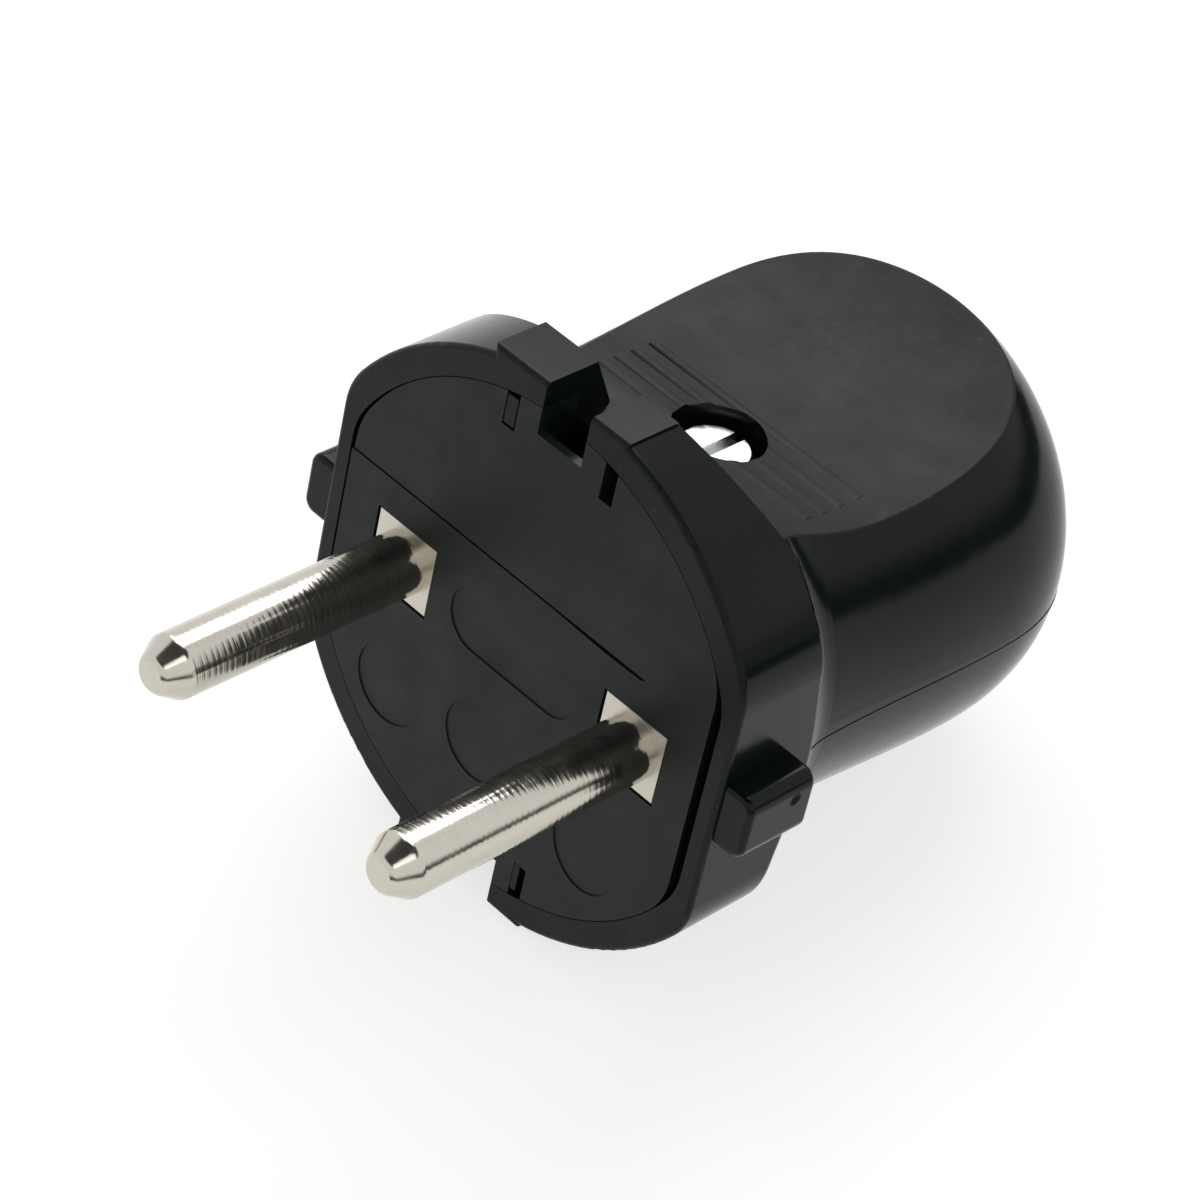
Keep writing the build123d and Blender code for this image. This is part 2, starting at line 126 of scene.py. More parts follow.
# Table, camera and room, the room by the direction in which it is seen from the plug
TABLE_HALF = 0.17  # half the width of the table
SENSOR_MM = 36.0  # width of the camera's sensor
WALL_FOOT = (0.0, math.sin(math.radians(11)))  # Z over which the walls come out of the gap below them
CEILING_EDGE = (math.sin(math.radians(46)), math.sin(math.radians(58)))  # Z over which the walls turn dim
GAP_CLOSES = (0.0, -0.4)  # X over which the gap closes towards the left


def linear(hex_colour):
    """An sRGB hex colour as linear RGB."""
    parts = [int(hex_colour[i:i + 2], 16) / 255 for i in (1, 3, 5)]
    return tuple(c / 12.92 if c <= 0.04045 else ((c + 0.055) / 1.055) ** 2.4 for c in parts)


def colour(name, description, default):
    """A colour property with its default as an sRGB hex value."""
    return FloatVectorProperty(name=name, description=description, default=linear(default), subtype="COLOR",
                               size=3, min=0, max=1)


def length(name, description, default_mm):
    """A length property with its default in millimetres."""
    return FloatProperty(name=name, description=description, default=default_mm * MM, min=0, unit="LENGTH",
                         precision=6)


def share(name, description, default):
    """A share property, from none to all."""
    return FloatProperty(name=name, description=description, default=default, min=0, max=1, subtype="FACTOR")


class PlugSizes(PropertyGroup):
    """Sizes of the details that the finish adds."""

    ring_pitch: length("Ring pitch", "Spacing of the turning rings on the pins", 0.42)
    ring_depth: length("Ring depth", "Depth of the turning rings on the pins", 0.0036)
    tip_round: length("Tip round", "How softly the tip's cone runs into the shank", 0.14)
    nose_edge: length("Nose edge", "Width of the rounded edge at the end of a pin", 0.15)
    pin_segments: IntProperty(name="Pin segments", description="Steps around a pin", default=72, min=12)
    pin_steps: IntProperty(name="Pin steps", description="Steps along a pin", default=400, min=40)
    pin_root: length("Pin root", "How far a turned shank reaches into its square bar", 0.3)
    flash_r: length("Flash radius", "Radius of the mould parting line on the handle", 0.05)
    joint_ease: length("Joint ease", "Wear of the carrier's front edge where the joint line is widest", 0.2)
    seam_ease: length("Seam ease", "Wear of the cap's front edge where the seam round it is widest", 0.2)
    left_ridges: share("Left ridges", "Height left of the worn ridges at their left ends", 1.0)
    right_ridges: share("Right ridges", "Height left of the worn ridges at their right ends", 0.2)


class PlugColours(PropertyGroup):
    """Colours of the finishes."""

    hood: colour("Hood", "Black phenolic of the hood", "#090F0E")
    insert: colour("Insert", "Black phenolic of the pin carrier and its cap", "#121817")
    dust: colour("Dust", "Dust in the pores of the mouldings", "#343635")
    nickel: colour("Nickel", "Nickel plate of the pins", "#C8C3B8")
    zinc: colour("Zinc", "Zinc plate of the screws", "#D9DBDC")
    brass: colour("Brass", "Brass of the terminal screws", "#B9964E")
    table: colour("Table", "Opal sheet of the light table", "#A2A29F")


class PlugStage(PropertyGroup):
    """Camera, on the plug's own axes, and light."""

    azimuth: FloatProperty(name="Azimuth", description="Turn of the camera from the front towards the right",
                           default=math.radians(37.44), subtype="ANGLE")
    elevation: FloatProperty(name="Elevation", description="Height of the camera above the plug's axis",
                             default=math.radians(38.18), subtype="ANGLE")
    roll: FloatProperty(name="Roll", description="Turn of the camera about its line of sight",
                        default=math.radians(13.28), subtype="ANGLE")
    distance: FloatProperty(name="Distance", description="Distance from the camera to its aim", default=0.245,
                            unit="LENGTH")
    aim: FloatVectorProperty(name="Aim", description="Point that the camera looks at",
                             default=(2.03 * MM, 4.04 * MM, 3.59 * MM), subtype="TRANSLATION")
    lens: FloatProperty(name="Lens", description="Focal length of the camera in millimetres", default=129.8)
    glow: FloatProperty(name="Glow", description="Strength of the light table under the plug", default=0.7)
    wall: FloatProperty(name="Wall", description="Strength of the pale walls round the table", default=1.0)
    gap: FloatProperty(name="Gap", description="Strength of the gap under the walls and of the ceiling",
                       default=0.06)


# Name, place, size and power of each soft light
LIGHTS = (
    ("back_softbox", (-0.412, 0.458, 0.788), 0.8, 6.2),
    ("front_softbox", (0.46, -0.32, 0.83), 0.25, 0.35),
)


def add(tree, kind, inputs=None, **fields):
    """Adds one node to a tree, sets its fields, and links or sets its inputs by name or number."""
    made = tree.nodes.new(kind)
    for name, value in fields.items():
        setattr(made, name, value)
    for key, value in (inputs or {}).items():
        if isinstance(value, bpy.types.NodeSocket):
            tree.links.new(value, made.inputs[key])
        else:
            made.inputs[key].default_value = value
    return made


def per_mm(size_mm):
    """Scale of a texture whose features are this many millimetres wide."""
    return 1 / (size_mm * MM)


def start_material(name):
    """An empty material, with its tree and the plug's own axes read from Object coordinates."""
    material = bpy.data.materials.new(name)
    material.use_nodes = True
    tree = material.node_tree
    tree.nodes.clear()
    place = add(tree, "ShaderNodeTexCoord").outputs["Object"]
    axes = add(tree, "ShaderNodeMapping", {"Vector": place, "Location": TO_PLUG.translation,
                                           "Rotation": TO_PLUG.to_euler()}).outputs["Vector"]
    return material, tree, axes


def shade(tree, pattern, tint, low, high):
    """A colour that runs from darker to lighter with a pattern."""
    return add(tree, "ShaderNodeMix", {"Factor": pattern, 6: (*[c * low for c in tint], 1),
                                       7: (*[c * high for c in tint], 1)}, data_type="RGBA").outputs[2]


def dusted(tree, axes, tone, dust, amount):
    """A tone with pale flecks of dust, 0.3 mm wide, in the pores of a surface."""
    pore = add(tree, "ShaderNodeTexNoise", {"Vector": axes, "Scale": per_mm(0.3),
                                            "Detail": 2.0}).outputs["Fac"]
    fleck = add(tree, "ShaderNodeMapRange", {"Value": pore, "From Min": 0.62, "From Max": 0.74}).outputs[0]
    cover = add(tree, "ShaderNodeMath", {0: fleck, 1: amount}, operation="MULTIPLY").outputs[0]
    return add(tree, "ShaderNodeMix", {"Factor": cover, 6: tone, 7: (*dust, 1)}, data_type="RGBA").outputs[2]


def end_material(tree, inputs):
    """Adds the shader with these inputs and the material's output."""
    shader = add(tree, "ShaderNodeBsdfPrincipled", inputs).outputs["BSDF"]
    add(tree, "ShaderNodeOutputMaterial", {"Surface": shader})


def gloss_phenolic(colours):
    """Black phenolic pressed in a polished mould.

    The eye sees sharp reflections on the barrel and the flange, slightly wavy with the flow of the
    resin, and a satin bloom on the pads and the front of the rim, which are rubbed in use.
    """
    material, tree, axes = start_material("black_phenolic_polished_mould")
    split = add(tree, "ShaderNodeSeparateXYZ", {"Vector": axes})
    normal = add(tree, "ShaderNodeNewGeometry").outputs["Normal"]
    facing = add(tree, "ShaderNodeVectorMath", {0: normal, 1: PLUG.col[2].to_3d()},
                 operation="DOT_PRODUCT").outputs["Value"]
    level = add(tree, "ShaderNodeMath", {0: facing}, operation="ABSOLUTE").outputs[0]
    flat = add(tree, "ShaderNodeMapRange", {"Value": level, "From Min": 0.80, "From Max": 0.88},
               interpolation_type="SMOOTHSTEP").outputs[0]
    behind = add(tree, "ShaderNodeMath", {0: split.outputs["Y"], 1: FLANGE_T},
                 operation="GREATER_THAN").outputs[0]
    pad = add(tree, "ShaderNodeMath", {0: flat, 1: behind}, operation="MULTIPLY").outputs[0]
    front = add(tree, "ShaderNodeMapRange",
                {"Value": split.outputs["Y"], "From Min": 0.5 * MM, "From Max": 0.1 * MM},
                interpolation_type="SMOOTHSTEP").outputs[0]
    satin = add(tree, "ShaderNodeMath", {0: pad, 1: front}, operation="MAXIMUM").outputs[0]
    # Flow clouds 3 mm wide and a bloom of 0.25 mm grain
    cloud = add(tree, "ShaderNodeTexNoise", {"Vector": axes, "Scale": per_mm(3.0), "Detail": 4.0,
                                             "Roughness": 0.6}).outputs["Fac"]
    grain = add(tree, "ShaderNodeTexNoise", {"Vector": axes, "Scale": per_mm(0.25),
                                             "Detail": 3.0}).outputs["Fac"]
    polished = add(tree, "ShaderNodeMapRange", {"Value": cloud, "From Min": 0.3, "From Max": 0.7,
                                                "To Min": 0.13, "To Max": 0.18}).outputs[0]
    rubbed = add(tree, "ShaderNodeMapRange", {"Value": cloud, "From Min": 0.3, "From Max": 0.7,
                                              "To Min": 0.34, "To Max": 0.46}).outputs[0]
    roughness = add(tree, "ShaderNodeMix", {"Factor": satin, "A": polished, "B": rubbed}).outputs["Result"]
    wave = add(tree, "ShaderNodeBump", {"Height": cloud, "Strength": 0.25, "Distance": 0.02 * MM})
    tooth = add(tree, "ShaderNodeMath", {0: grain, 1: satin}, operation="MULTIPLY").outputs[0]
    relief = add(tree, "ShaderNodeBump", {"Height": tooth, "Strength": 0.35, "Distance": 0.012 * MM,
                                          "Normal": wave.outputs["Normal"]})
    # Dust stays in the pores of the rubbed areas only
    specks = add(tree, "ShaderNodeMath", {0: satin, 1: 0.4}, operation="MULTIPLY").outputs[0]
    tone = dusted(tree, axes, shade(tree, cloud, colours.hood, low=0.85, high=1.2), colours.dust, specks)
    end_material(tree, {"Base Color": tone, "Roughness": roughness, "IOR": 1.5, "Specular IOR Level": 0.155,
                        "Normal": relief.outputs["Normal"]})
    return material


def satin_phenolic(colours):
    """Black phenolic pressed in a mould with a blasted face.

    The eye sees an even dark grey with a fine tooth, a little uneven where the powder flowed, and
    smooth black walls in the notch and the slots.
    """
    material, tree, axes = start_material("black_phenolic_satin_mould")
    # Flow clouds 4 mm wide over the 0.2 mm grit of the blasted mould
    cloud = add(tree, "ShaderNodeTexNoise", {"Vector": axes, "Scale": per_mm(4.0), "Detail": 5.0,
                                             "Roughness": 0.65}).outputs["Fac"]
    grit = add(tree, "ShaderNodeTexNoise", {"Vector": axes, "Scale": per_mm(0.2),
                                            "Detail": 2.0}).outputs["Fac"]
    blasted = add(tree, "ShaderNodeMapRange", {"Value": cloud, "From Min": 0.3, "From Max": 0.7,
                                               "To Min": 0.36, "To Max": 0.6}).outputs[0]
    normal = add(tree, "ShaderNodeNewGeometry").outputs["Normal"]
    facing = add(tree, "ShaderNodeVectorMath", {0: normal, 1: PIN_AXIS},
                 operation="DOT_PRODUCT").outputs["Value"]
    face = add(tree, "ShaderNodeMapRange", {"Value": facing, "From Min": 0.5, "From Max": 0.8}).outputs[0]
    roughness = add(tree, "ShaderNodeMix", {"Factor": face, "A": 0.14, "B": blasted}).outputs["Result"]
    swell = add(tree, "ShaderNodeBump", {"Height": cloud, "Strength": 0.3, "Distance": 0.03 * MM})
    tooth = add(tree, "ShaderNodeBump", {"Height": grit, "Strength": 0.4, "Distance": 0.01 * MM,
                                         "Normal": swell.outputs["Normal"]})
    tone = dusted(tree, axes, shade(tree, cloud, colours.insert, low=0.7, high=1.35), colours.dust,
                  amount=0.15)
    end_material(tree, {"Base Color": tone, "Roughness": roughness, "IOR": 1.5,
                        "Specular IOR Level": 0.2, "Normal": tooth.outputs["Normal"]})
    return material


def nickel_plate(colours):
    """Bright nickel on turned brass.

    The eye sees a warm mirror, broken into fine rings on the turned shank by the tool's feed, and a
    duller, clouded square end that was sawn and tumbled.
    """
    material, tree, axes = start_material("nickel_plate_on_turned_brass")
    split = add(tree, "ShaderNodeSeparateXYZ", {"Vector": axes})
    turned = add(tree, "ShaderNodeMath", {0: split.outputs["Y"], 1: 0.0}, operation="LESS_THAN").outputs[0]
    # Tool feed of 0.12 mm, drawn as noise along the pin, and clouds of 0.8 mm in the plate
    feed = add(tree, "ShaderNodeTexNoise", {"W": split.outputs["Y"], "Scale": per_mm(0.12), "Detail": 2.0},
               noise_dimensions="1D").outputs["Fac"]
    cloud = add(tree, "ShaderNodeTexNoise", {"Vector": axes, "Scale": per_mm(0.8),
                                             "Detail": 4.0}).outputs["Fac"]
    smooth = add(tree, "ShaderNodeMapRange", {"Value": cloud, "From Min": 0.3, "From Max": 0.7,
                                              "To Min": 0.12, "To Max": 0.2}).outputs[0]
    dull = add(tree, "ShaderNodeMapRange", {"Value": cloud, "From Min": 0.3, "From Max": 0.7,
                                            "To Min": 0.26, "To Max": 0.4}).outputs[0]
    roughness = add(tree, "ShaderNodeMix", {"Factor": turned, "A": dull, "B": smooth}).outputs["Result"]
    height = add(tree, "ShaderNodeMix", {"Factor": turned, "A": cloud, "B": feed}).outputs["Result"]
    relief = add(tree, "ShaderNodeBump", {"Height": height, "Strength": 0.2, "Distance": 0.012 * MM})
    end_material(tree, {"Base Color": shade(tree, cloud, colours.nickel, low=0.9, high=1.04), "Metallic": 1.0,
                        "Roughness": roughness, "Normal": relief.outputs["Normal"]})
    return material


def plated_metal(name, tint, smooth, rough):
    """Plated or plain turned metal of a small screw or nut, between two values of roughness.

    The eye sees a bright, faintly mottled skin with the streaks of the barrel it was tumbled in.
    """
    material, tree, axes = start_material(name)
    # Crystals of 0.3 mm and tumbling streaks of 1 mm
    crystal = add(tree, "ShaderNodeTexNoise", {"Vector": axes, "Scale": per_mm(0.3),
                                               "Detail": 3.0}).outputs["Fac"]
    streak = add(tree, "ShaderNodeTexNoise", {"Vector": axes, "Scale": per_mm(1.0), "Detail": 4.0,
                                              "Distortion": 1.5}).outputs["Fac"]
    roughness = add(tree, "ShaderNodeMapRange", {"Value": streak, "From Min": 0.3, "From Max": 0.7,
                                                 "To Min": smooth, "To Max": rough}).outputs[0]
    relief = add(tree, "ShaderNodeBump", {"Height": crystal, "Strength": 0.25, "Distance": 0.01 * MM})
    end_material(tree, {"Base Color": shade(tree, streak, tint, low=0.85, high=1.05), "Metallic": 1.0,
                        "Roughness": roughness, "Normal": relief.outputs["Normal"]})
    return material


def show_as(piece, material):
    """Gives a piece one material."""
    piece.data.materials.clear()
    piece.data.materials.append(material)


def start_tree(name, sockets):
    """An empty Geometry Nodes tree with named inputs, and the outputs of its input node by name."""
    tree = bpy.data.node_groups.new(name, "GeometryNodeTree")
    for label, kind in sockets.items():
        tree.interface.new_socket(label, in_out="INPUT", socket_type=f"NodeSocket{kind}")
    tree.interface.new_socket("Mesh", in_out="OUTPUT", socket_type="NodeSocketGeometry")
    return tree, tree.nodes.new("NodeGroupInput").outputs


def end_tree(tree, mesh, material):
    """Smooths the mesh except at its sharp edges, makes it real and gives it its material."""
    smooth = add(tree, "GeometryNodeSetShadeSmooth", {"Geometry": mesh}).outputs[0]
    angle = add(tree, "GeometryNodeInputMeshEdgeAngle").outputs["Unsigned Angle"]
    corner = add(tree, "ShaderNodeMath", {0: angle, 1: SHARP}, operation="GREATER_THAN").outputs[0]
    crisp = add(tree, "GeometryNodeSetShadeSmooth",
                {"Geometry": smooth, "Selection": corner, "Shade Smooth": False}, domain="EDGE").outputs[0]
    real = add(tree, "GeometryNodeRealizeInstances", {"Geometry": crisp}).outputs[0]
    coated = add(tree, "GeometryNodeSetMaterial", {"Geometry": real, "Material": material}).outputs[0]
    add(tree, "NodeGroupOutput", {"Mesh": coated})
    return tree


def grow(tree, values):
    """Plain mesh that a tree makes from these values."""
    holder = bpy.data.objects.new(tree.name, bpy.data.meshes.new(tree.name))
    bpy.context.scene.collection.objects.link(holder)
    modifier = holder.modifiers.new(tree.name, "NODES")
    modifier.node_group = tree
    for socket in tree.interface.items_tree:
        if socket.in_out == "INPUT":
            modifier[socket.identifier] = values[socket.name]
    mesh = bpy.data.meshes.new_from_object(holder.evaluated_get(bpy.context.evaluated_depsgraph_get()))
    bpy.data.objects.remove(holder)
    if not mesh.polygons:
        raise RuntimeError(f"{tree.name} made no faces")
    return mesh


def place_piece(name, mesh, material):
    """Adds a finished mesh as a piece that rides on the plug."""
    piece = bpy.data.objects.new(name, mesh)
    bpy.context.scene.collection.objects.link(piece)
    show_as(piece, material)
    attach(piece, BODY)
    return piece


def turned_shank_tree():
    """A shank from the lathe: a straight path whose radius follows the tip's cone and the turning rings."""
    tree, given = start_tree("turned_shank", {
        "Start": "Vector", "End": "Vector", "Radius": "Float", "Tip Radius": "Float", "Tip Length": "Float",
        "Tip Round": "Float", "Nose Edge": "Float", "Ring Pitch": "Float", "Ring Depth": "Float",
        "Steps": "Int", "Segments": "Int", "Seed": "Float", "Material": "Material"})
    line = add(tree, "GeometryNodeCurvePrimitiveLine",
               {"Start": given["Start"], "End": given["End"]}).outputs[0]
    path = add(tree, "GeometryNodeResampleCurve", {"Curve": line, "Count": given["Steps"]}).outputs[0]
    along = add(tree, "GeometryNodeSplineParameter").outputs["Length"]
    whole = add(tree, "GeometryNodeCurveLength", {"Curve": line}).outputs[0]
    left = add(tree, "ShaderNodeMath", {0: whole, 1: along}, operation="SUBTRACT").outputs[0]
    taper = add(tree, "ShaderNodeMapRange", {"Value": left, "From Max": given["Tip Length"],
                                             "To Min": given["Tip Radius"], "To Max": given["Radius"]},
                clamp=False).outputs[0]
    bare = add(tree, "ShaderNodeMath", {0: taper, 1: given["Radius"], 2: given["Tip Round"]},
               operation="SMOOTH_MIN").outputs[0]
    end = add(tree, "ShaderNodeMath", {0: given["Tip Radius"], 1: given["Nose Edge"]},
              operation="SUBTRACT").outputs[0]
    nose = add(tree, "ShaderNodeMath", {0: left, 1: NOSE_SLOPE, 2: end}, operation="MULTIPLY_ADD").outputs[0]
    cone = add(tree, "ShaderNodeMath", {0: bare, 1: nose, 2: given["Nose Edge"]},
               operation="SMOOTH_MIN").outputs[0]
    turns = add(tree, "ShaderNodeMath", {0: along, 1: given["Ring Pitch"]}, operation="DIVIDE").outputs[0]
    place = add(tree, "ShaderNodeMath", {0: turns, 1: given["Seed"]}).outputs[0]
    chatter = add(tree, "ShaderNodeTexNoise", {"W": place, "Scale": 1.0, "Detail": 3.0},
                  noise_dimensions="1D").outputs["Fac"]
    drift = add(tree, "ShaderNodeMath", {0: chatter, 1: 1.5, 2: place}, operation="MULTIPLY_ADD").outputs[0]
    swing = add(tree, "ShaderNodeMath", {0: drift, 1: math.tau}, operation="MULTIPLY").outputs[0]
    wave = add(tree, "ShaderNodeMath", {0: swing}, operation="SINE").outputs[0]
    groove = add(tree, "ShaderNodeMapRange", {"Value": wave, "From Min": -1.0, "From Max": 1.0,
                                              "To Max": given["Ring Depth"]}).outputs[0]
    radius = add(tree, "ShaderNodeMath", {0: cone, 1: groove}, operation="SUBTRACT").outputs[0]
    circle = add(tree, "GeometryNodeCurvePrimitiveCircle",
                 {"Resolution": given["Segments"], "Radius": 1.0}).outputs[0]
    tube = add(tree, "GeometryNodeCurveToMesh", {"Curve": path, "Profile Curve": circle, "Scale": radius,
                                                 "Fill Caps": True}).outputs[0]
    return end_tree(tree, tube, given["Material"])


def square_end(side):
    """The square end of a pin: the CAD pin without its round shank, closed where that began."""
    shape = bmesh.new()
    shape.from_mesh(frame["nodes"][f"{side}_pin"].data)
    bmesh.ops.remove_doubles(shape, verts=shape.verts, dist=WELD)
    shank = [vertex for vertex in shape.verts if (TO_PLUG @ vertex.co).y < -NEAR]
    bmesh.ops.delete(shape, geom=shank, context="VERTS")
    bmesh.ops.holes_fill(shape, edges=shape.edges, sides=0)
    return shape


def parting_flash_tree():
    """A fine raised line that the two halves of the mould leave: a path dropped sideways on the hood."""
    tree, given = start_tree("parting_flash", {
        "Hood": "Object", "Start": "Vector", "End": "Vector", "Inward": "Vector", "Radius": "Float",
        "Steps": "Int", "Material": "Material"})
    line = add(tree, "GeometryNodeCurvePrimitiveLine",
               {"Start": given["Start"], "End": given["End"]}).outputs[0]
    path = add(tree, "GeometryNodeResampleCurve", {"Curve": line, "Count": given["Steps"]}).outputs[0]
    hood = add(tree, "GeometryNodeObjectInfo", {"Object": given["Hood"]}).outputs["Geometry"]
    drop = add(tree, "GeometryNodeRaycast", {"Target Geometry": hood, "Ray Direction": given["Inward"],
                                             "Ray Length": 1.0})
    laid = add(tree, "GeometryNodeSetPosition",
               {"Geometry": path, "Position": drop.outputs["Hit Position"]}).outputs[0]
    circle = add(tree, "GeometryNodeCurvePrimitiveCircle",
                 {"Resolution": FLASH_SIDES, "Radius": given["Radius"]}).outputs[0]
    tube = add(tree, "GeometryNodeCurveToMesh",
               {"Curve": laid, "Profile Curve": circle, "Fill Caps": True}).outputs[0]
    return end_tree(tree, tube, given["Material"])


def worn_hood(sizes):
    """Mesh of the hood with its ridges rubbed down, from their left ends to their right ends."""
    hood = frame["nodes"]["hood"]
    mesh = hood.data.copy()
    down = -PLUG.col[2].to_3d()
    for vertex in mesh.vertices:
        spot = TO_PLUG @ vertex.co
        if spot.z < 0 or abs(spot.x) > RIDGE_END + NEAR or abs(spot.y - SCREW_Y) > RIDGE_REACH:
            continue
        beside = PLUG @ Vector((BARREL_R * PAD_STRIP, spot.y, 2 * BARREL_R))
        pad = (TO_PLUG @ hood.ray_cast(beside, down)[1]).z
        if NEAR < spot.z - pad < RIDGE_TOP:
            along = (spot.x + RIDGE_END) / (2 * RIDGE_END)
            kept = sizes.left_ridges + (sizes.right_ridges - sizes.left_ridges) * along
            vertex.co = PLUG @ Vector((spot.x, spot.y, pad + kept * (spot.z - pad)))
    mesh.update()
    return mesh


def patches(faces):
    """Groups of faces that hang together."""
    left = set(faces)
    while left:
        patch = [left.pop()]
        for face in patch:
            near = {other for edge in face.edges for other in edge.link_faces} & left
            left -= near
            patch.extend(near)
        yield patch


def wear_joint(shape, joint, gap, ease):
    """Wears the front edge at the joint's height to a line of varying width, and fills its right end."""
    top = {vertex for vertex in shape.verts
           if (TO_PLUG @ vertex.co).y < NEAR and (TO_PLUG @ vertex.co).z > joint - NEAR}
    faces = [face for face in shape.faces if any(set(edge.verts) <= top for edge in face.edges)]
    strips = [*faces, *dict.fromkeys(edge for face in faces for edge in face.edges),
              *dict.fromkeys(vertex for face in faces for vertex in face.verts)]
    for step in range(JOINT_CUTS):
        along = JOINT_FROM + (JOINT_SHUT - JOINT_FROM) * step / (JOINT_CUTS - 1)
        strips = bmesh.ops.bisect_plane(shape, geom=strips, dist=WELD, plane_no=ACROSS,
                                        plane_co=PLUG @ Vector((along, 0, 0)))["geom"]
    for vertex in shape.verts:
        spot = TO_PLUG @ vertex.co
        if spot.y > NEAR or spot.z < joint - NEAR:
            continue
        worn = JOINT_THIN + (1 - JOINT_THIN) * math.exp(-((spot.x - JOINT_WIDE) / JOINT_RUN) ** 2)
        spot.z += JOINT_FILL * gap if spot.x > JOINT_SHUT - NEAR else -worn * ease
        vertex.co = PLUG @ spot


def sunk_carrier(sizes):
    """Mesh of the pin carrier, sunk inside the outlines on its face and worn along the joint line."""
    shape = bmesh.new()
    shape.from_mesh(frame["nodes"]["pin_carrier"].data)
    bmesh.ops.remove_doubles(shape, verts=shape.verts, dist=WELD)
    spots = {vertex: TO_PLUG @ vertex.co for vertex in shape.verts}
    floor = min(spot.y for spot in spots.values() if spot.y > NEAR)
    front = [face for face in shape.faces if all(spots[vertex].y < NEAR for vertex in face.verts)]
    islands = sorted(patches(front), key=lambda patch: sum(face.calc_area() for face in patch))
    plate = islands.pop()
    for vertex in {vertex for patch in islands for face in patch for vertex in face.verts}:
        vertex.co = PLUG @ (spots[vertex] + Vector((0, floor, 0)))
    joint = max(spots[vertex].z for face in plate for vertex in face.verts)
    gap = min(point.z for point in plug_points("carrier_cap") if point.y < NEAR) - joint
    wear_joint(shape, joint, gap, sizes.joint_ease)
    bmesh.ops.remove_doubles(shape, verts=shape.verts, dist=WELD)
    mesh = bpy.data.meshes.new("pin_carrier_marked")
    shape.to_mesh(mesh)
    shape.free()
    # The normals of the solid no longer fit the moved faces
    if "custom_normal" in mesh.attributes:
        mesh.attributes.remove(mesh.attributes["custom_normal"])
    mesh.shade_smooth()
    mesh.set_sharp_from_angle(angle=SHARP)
    return mesh


def worn_cap(sizes):
    """Mesh of the carrier cap, its front edge worn at the upper left, where the seam round it is widest."""
    mesh = frame["nodes"]["carrier_cap"].data.copy()
    for vertex in mesh.vertices:
        spot = TO_PLUG @ vertex.co
        if spot.y < NEAR and spot.x < SEAM_FROM:
            spot.x += sizes.seam_ease * math.exp(-((spot.z - SEAM_WIDE) / SEAM_RUN) ** 2)
            vertex.co = PLUG @ spot
    mesh.update()
    return mesh


class PLUG_OT_hood(Operator):
    """Gives the hood its polished black moulding, with the parting line of its mould"""

    bl_idname = "plug.hood"
    bl_label = "Hood"

    def execute(self, context):
        sizes = context.scene.plug_sizes
        material = gloss_phenolic(context.scene.plug_colours)
        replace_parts(place_piece("hood_worn", worn_hood(sizes), material), "hood")
        tree = parting_flash_tree()
        for side, sign in SIDES.items():
            aside = 2 * sign * BARREL_R
            mesh = grow(tree, {
                "Hood": frame["nodes"]["hood"], "Inward": -sign * ACROSS,
                "Start": PLUG @ Vector((aside, FLANGE_T + FLASH_INSET, -FLASH_DROP)),
                "End": PLUG @ Vector((aside, REAR_Y - FLASH_INSET, 0)),
                "Radius": sizes.flash_r, "Steps": FLASH_STEPS, "Material": material})
            place_piece(f"{side}_parting_flash", mesh, material)
        return {"FINISHED"}


class PLUG_OT_insert(Operator):
    """Gives the pin carrier, its cap and the cord clamp their satin black moulding"""

    bl_idname = "plug.insert"
    bl_label = "Insert"

    def execute(self, context):
        material = satin_phenolic(context.scene.plug_colours)
        sizes = context.scene.plug_sizes
        carrier = place_piece("pin_carrier_marked", sunk_carrier(sizes), material)
        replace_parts(carrier, "pin_carrier")
        cap = place_piece("carrier_cap_worn", worn_cap(sizes), material)
        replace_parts(cap, "carrier_cap")
        show_as(frame["nodes"]["cord_clamp_bar"], material)
        return {"FINISHED"}


class PLUG_OT_pins(Operator):
    """Turns the pins, with the rings of the lathe on their shanks, and plates them"""

    bl_idname = "plug.pins"
    bl_label = "Pins"

    def execute(self, context):
        sizes = context.scene.plug_sizes
        material = nickel_plate(context.scene.plug_colours)
        tree = turned_shank_tree()
        for side, sign in SIDES.items():
            shank = grow(tree, {
                "Start": PLUG @ Vector((sign * PIN_X, sizes.pin_root, 0)),
                "End": PLUG @ Vector((sign * PIN_X, -PIN_TIP, 0)),
                "Radius": PIN_R, "Tip Radius": TIP_R, "Tip Length": PIN_TIP - PIN_WALL,
                "Tip Round": sizes.tip_round, "Nose Edge": sizes.nose_edge, "Ring Pitch": sizes.ring_pitch,
                "Ring Depth": sizes.ring_depth, "Steps": sizes.pin_steps, "Segments": sizes.pin_segments,
                "Seed": RING_SEEDS[side], "Material": material})
            shape = square_end(side)
            shape.from_mesh(shank)
            bmesh.ops.recalc_face_normals(shape, faces=shape.faces)
            mesh = bpy.data.meshes.new(f"{side}_pin_turned")
            shape.to_mesh(mesh)
            shape.free()
            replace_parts(place_piece(mesh.name, mesh, material), f"{side}_pin")
        return {"FINISHED"}


class PLUG_OT_screws(Operator):
    """Plates the screws and the nut"""

    bl_idname = "plug.screws"
    bl_label = "Screws and nut"

    def execute(self, context):
        colours = context.scene.plug_colours
        zinc = plated_metal("zinc_plate_on_turned_steel", colours.zinc, smooth=0.16, rough=0.3)
        brass = plated_metal("brass_turned", colours.brass, smooth=0.2, rough=0.34)
        for node in ("cover_screw", "cover_nut", "left_clamp_screw", "right_clamp_screw"):
            show_as(frame["nodes"][node], zinc)
        for node in ("left_terminal_screw", "right_terminal_screw"):
            show_as(frame["nodes"][node], brass)
        return {"FINISHED"}


